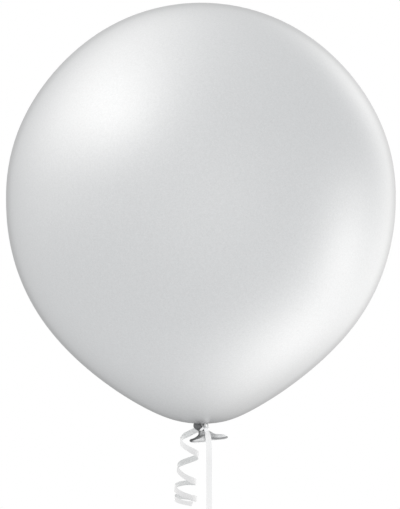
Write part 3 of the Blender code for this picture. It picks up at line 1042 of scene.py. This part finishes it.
# The tie and the small loop are copies of the white ribbon: the tie painted lighter, painted light in
# the balloon's shade, and the small loop painted darker, a painted shade.
tied_ribbon_painted_light = ribbon_material("tied ribbon painted light", (0.95, 0.953, 0.96), (0.93, 0.933, 0.94))
loop_ribbon_painted_shade = ribbon_material("loop ribbon painted shade", (0.68, 0.69, 0.69), (0.66, 0.67, 0.67))
FINISHES = {
    film_finish: [envelope],
    gathered_finish: [knot, lip],
    spread_finish: [tail],
    curled_ribbon: [curled_tail],
    straight_ribbon: [straight_tail, hand_loop, end_knot],
    tied_ribbon_painted_light: [tie_turns, tie_knot],
    loop_ribbon_painted_shade: [small_loop],
}
for finish, pieces in FINISHES.items():
    for piece in pieces:
        piece.data.materials.clear()
        piece.data.materials.append(finish)
    print(f"{finish.name}: {', '.join(piece.name for piece in pieces)}")

# %% [markdown]
# ## The studio
#
# The balloon floats in a white studio. A shiny ball shows its whole room, so the room matters more
# than any lamp. Here the room is a dome of even light with soft brighter places in it, like large
# softboxes: the key high on the left, a wide bounce low on the right, and a rim behind the right
# side. Each is a smooth bell on the sphere of directions: `exp(softness * (cosine - 1))`, which is 1
# on its axis and fades round it. The room is dimmer behind the balloon, which gives it its edge.

# %% Dome
ROOM = 1.047
DIM_PLACES = (
    ("behind", (-0.08, 0.99, -0.10), 11.2, 0.45),
    ("below behind", (0.06, 0.72, -0.69), 22.6, 0.45),
    ("between", (0.05, 0.89, -0.46), 26.5, 0.45),
    ("left", (-0.95, 0.30, -0.10), 5.0, 0.05),
)
SOFT_LIGHTS = (
    ("key", (-0.69, 0.10, 0.72), 4.8, 0.715),
    ("key core", (-0.63, -0.41, 0.66), 14.5, 0.385),
    ("bounce", (0.55, 0.30, -0.78), 8.2, 0.77),
    ("side bounce", (0.96, 0.12, -0.26), 17.5, 0.64),
    ("rim", (0.56, 0.82, -0.15), 12.2, 0.67),
    ("upper rim", (0.48, 0.80, 0.37), 36.4, 0.66),
    ("front", (0.12, -0.99, 0.0), 4.0, 0.13),
    ("top", (-0.24, 0.62, 0.74), 23.6, 0.23),
)
ROOM_COLOUR = (0.990, 0.997, 1.0)
LAMP_COLOUR = (1.03, 1.0, 0.965)


def bell(tree, direction, axis, softness):
    dot = tree.nodes.new("ShaderNodeVectorMath")
    dot.operation = "DOT_PRODUCT"
    plug(tree, dot.inputs[0], direction)
    dot.inputs[1].default_value = Vector(axis).normalized()
    fall = maths(tree, "MULTIPLY_ADD", dot.outputs["Value"], softness, -softness)
    return maths(tree, "EXPONENT", fall)


def background(tree, colour, strength):
    node = tree.nodes.new("ShaderNodeBackground")
    node.inputs["Color"].default_value = (*colour, 1)
    plug(tree, node.inputs["Strength"], strength)
    return node.outputs[0]


def add_dome():
    world = bpy.data.worlds.new("white studio")
    bpy.context.scene.world = world
    world.use_nodes = True
    tree = world.node_tree
    tree.nodes.clear()
    direction = tree.nodes.new("ShaderNodeTexCoord").outputs["Generated"]
    room, lamps = ROOM, 0.0
    for _, axis, softness, dimming in DIM_PLACES:
        left = maths(tree, "MULTIPLY_ADD", bell(tree, direction, axis, softness), -dimming, 1.0)
        room = maths(tree, "MULTIPLY", left, room)
    for _, axis, softness, strength in SOFT_LIGHTS:
        lamps = maths(tree, "MULTIPLY_ADD", bell(tree, direction, axis, softness), strength, lamps)
    shed = tree.nodes.new("ShaderNodeAddShader")
    for socket, colour, strength in zip(shed.inputs, (ROOM_COLOUR, LAMP_COLOUR), (room, lamps)):
        plug(tree, socket, background(tree, colour, strength))
    rays = tree.nodes.new("ShaderNodeLightPath")
    choose = tree.nodes.new("ShaderNodeMixShader")
    plug(tree, choose.inputs["Fac"], rays.outputs["Is Camera Ray"])
    plug(tree, choose.inputs[1], shed.outputs[0])
    plug(tree, choose.inputs[2], background(tree, (1, 1, 1), 1.0))
    out = tree.nodes.new("ShaderNodeOutputWorld")
    plug(tree, out.inputs["Surface"], choose.outputs[0])
    view = bpy.context.scene.view_settings
    view.view_transform = "Standard"
    view.look = "None"
    print(f"dome: {len(SOFT_LIGHTS)} soft lights, {len(DIM_PLACES)} dim places")


add_dome()

# %% [markdown]
# The floor is a plain pale disc far below. It shows only in views from above. It is kept out of the
# reflections and the bounced light, so that the soft light from below comes through it.

# %% Floor
FLOOR_Z = -1.25
FLOOR_RADIUS = 3.0


def add_floor():
    bm = bmesh.new()
    bmesh.ops.create_circle(bm, cap_ends=True, segments=128, radius=FLOOR_RADIUS)
    bmesh.ops.translate(bm, vec=(0, 0, FLOOR_Z), verts=bm.verts)
    mesh = bpy.data.meshes.new("floor")
    bm.to_mesh(mesh)
    bm.free()
    floor = bpy.data.objects.new("floor", mesh)
    bpy.context.scene.collection.objects.link(floor)
    material, tree, shader = new_material("pale floor", 0.9, 0.0)
    shader.inputs["Base Color"].default_value = (0.86, 0.86, 0.86, 1)
    mesh.materials.append(material)
    floor.visible_glossy = False
    floor.visible_diffuse = False
    floor.visible_shadow = False
    floor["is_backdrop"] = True


add_floor()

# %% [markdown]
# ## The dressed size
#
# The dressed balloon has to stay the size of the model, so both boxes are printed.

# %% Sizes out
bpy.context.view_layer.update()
for name, (low, high) in (("model", cad_bounds), ("dressed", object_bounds())):
    print(name, "box in mm:", [round((b - a) / MM, 1) for a, b in zip(low, high)])
